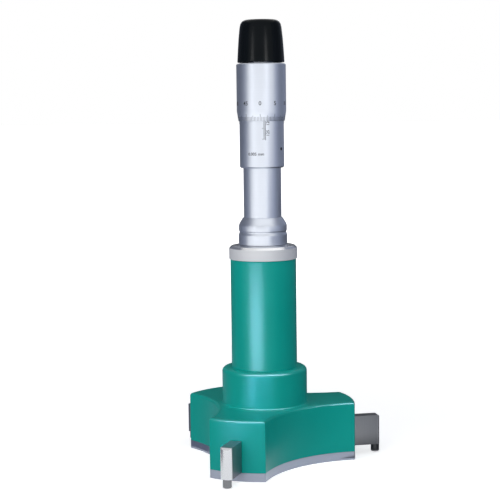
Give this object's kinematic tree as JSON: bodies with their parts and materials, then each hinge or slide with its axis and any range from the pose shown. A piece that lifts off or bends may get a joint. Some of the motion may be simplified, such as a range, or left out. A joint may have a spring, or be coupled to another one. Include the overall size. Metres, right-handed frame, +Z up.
{
  "type": "three-point micrometer",
  "caption": "Three-point internal micrometer: a cone pushed by the thimble's screw spreads three anvils in a star-shaped head that stands on its cover.",
  "frame": {"origin": "on the main axis, in the underside of the bottom cover", "axes": "+Z up along the main axis to the ratchet cap; -Y along the front anvil"},
  "size_m": [0.102, 0.091, 0.2141],
  "materials": {
    "green_paint": "smooth semi-gloss teal green enamel",
    "ground_steel": "ground flat",
    "satin_steel": "satin chrome plated",
    "hard_steel": "hardened and ground",
    "pin_metal": "ground hard metal",
    "dark_steel": "black oxide",
    "spring_steel": "drawn wire",
    "bronze": "turned",
    "black_plastic": "smooth black, satin gloss"
  },
  "bodies": {
    "head": {"head_body": "green_paint", "bottom_cover": "ground_steel", "cover_screws": "dark_steel", "grip_tube": "green_paint", "tube_collar": "satin_steel", "clamp_nut": "satin_steel", "barrel": "satin_steel", "scale_sleeve": "satin_steel", "adjusting_nut": "satin_steel", "guide_bush": "bronze", "cone_spring": "spring_steel", "anvil_spring_front": "spring_steel", "anvil_spring_right": "spring_steel", "anvil_spring_left": "spring_steel"},
    "cone": {"measuring_cone": "hard_steel", "cone_rod": "hard_steel", "rod_cap": "hard_steel", "contact_ball": "hard_steel"},
    "thimble": {"thimble": "satin_steel", "spindle": "hard_steel", "ratchet_wheel": "hard_steel", "ratchet_screw": "dark_steel"},
    "ratchet": {"ratchet_cap": "black_plastic", "ratchet_clutch": "hard_steel", "ratchet_spring": "spring_steel"},
    "anvil_front": {"anvil_front": "hard_steel", "measuring_pin_front": "pin_metal"},
    "anvil_right": {"anvil_right": "hard_steel", "measuring_pin_right": "pin_metal"},
    "anvil_left": {"anvil_left": "hard_steel", "measuring_pin_left": "pin_metal"}
  },
  "joints": [
    {"name": "cone_feed", "type": "slide", "parent": "head", "child": "cone", "axis": [0, 0, 1], "range_m": [-0.0085, 0.0165], "deforming": ["cone_spring"]},
    {"name": "thimble_turn", "type": "hinge", "parent": "cone", "child": "thimble", "pos_m": [0, 0, 0.19], "axis": [0, 0, 1], "range_deg": [-6120.01, 11880.01]},
    {"name": "ratchet_turn", "type": "hinge", "parent": "thimble", "child": "ratchet", "pos_m": [0, 0, 0.204], "axis": [0, 0, 1], "continuous": true},
    {"name": "anvil_front_slide", "type": "slide", "parent": "head", "child": "anvil_front", "axis": [0, -1, 0], "range_m": [-0.00825, 0.00425], "deforming": ["anvil_spring_front"]},
    {"name": "anvil_right_slide", "type": "slide", "parent": "head", "child": "anvil_right", "axis": [0.866, 0.5, 0], "range_m": [-0.00825, 0.00425], "deforming": ["anvil_spring_right"]},
    {"name": "anvil_left_slide", "type": "slide", "parent": "head", "child": "anvil_left", "axis": [-0.866, 0.5, 0], "range_m": [-0.00825, 0.00425], "deforming": ["anvil_spring_left"]}
  ],
  "couplings": [
    {"joint": "thimble_turn", "follows": "cone_feed", "rad_per_m": 12566},
    {"joint": "anvil_front_slide", "follows": "cone_feed", "ratio": -0.5},
    {"joint": "anvil_right_slide", "follows": "cone_feed", "ratio": -0.5},
    {"joint": "anvil_left_slide", "follows": "cone_feed", "ratio": -0.5}
  ]
}
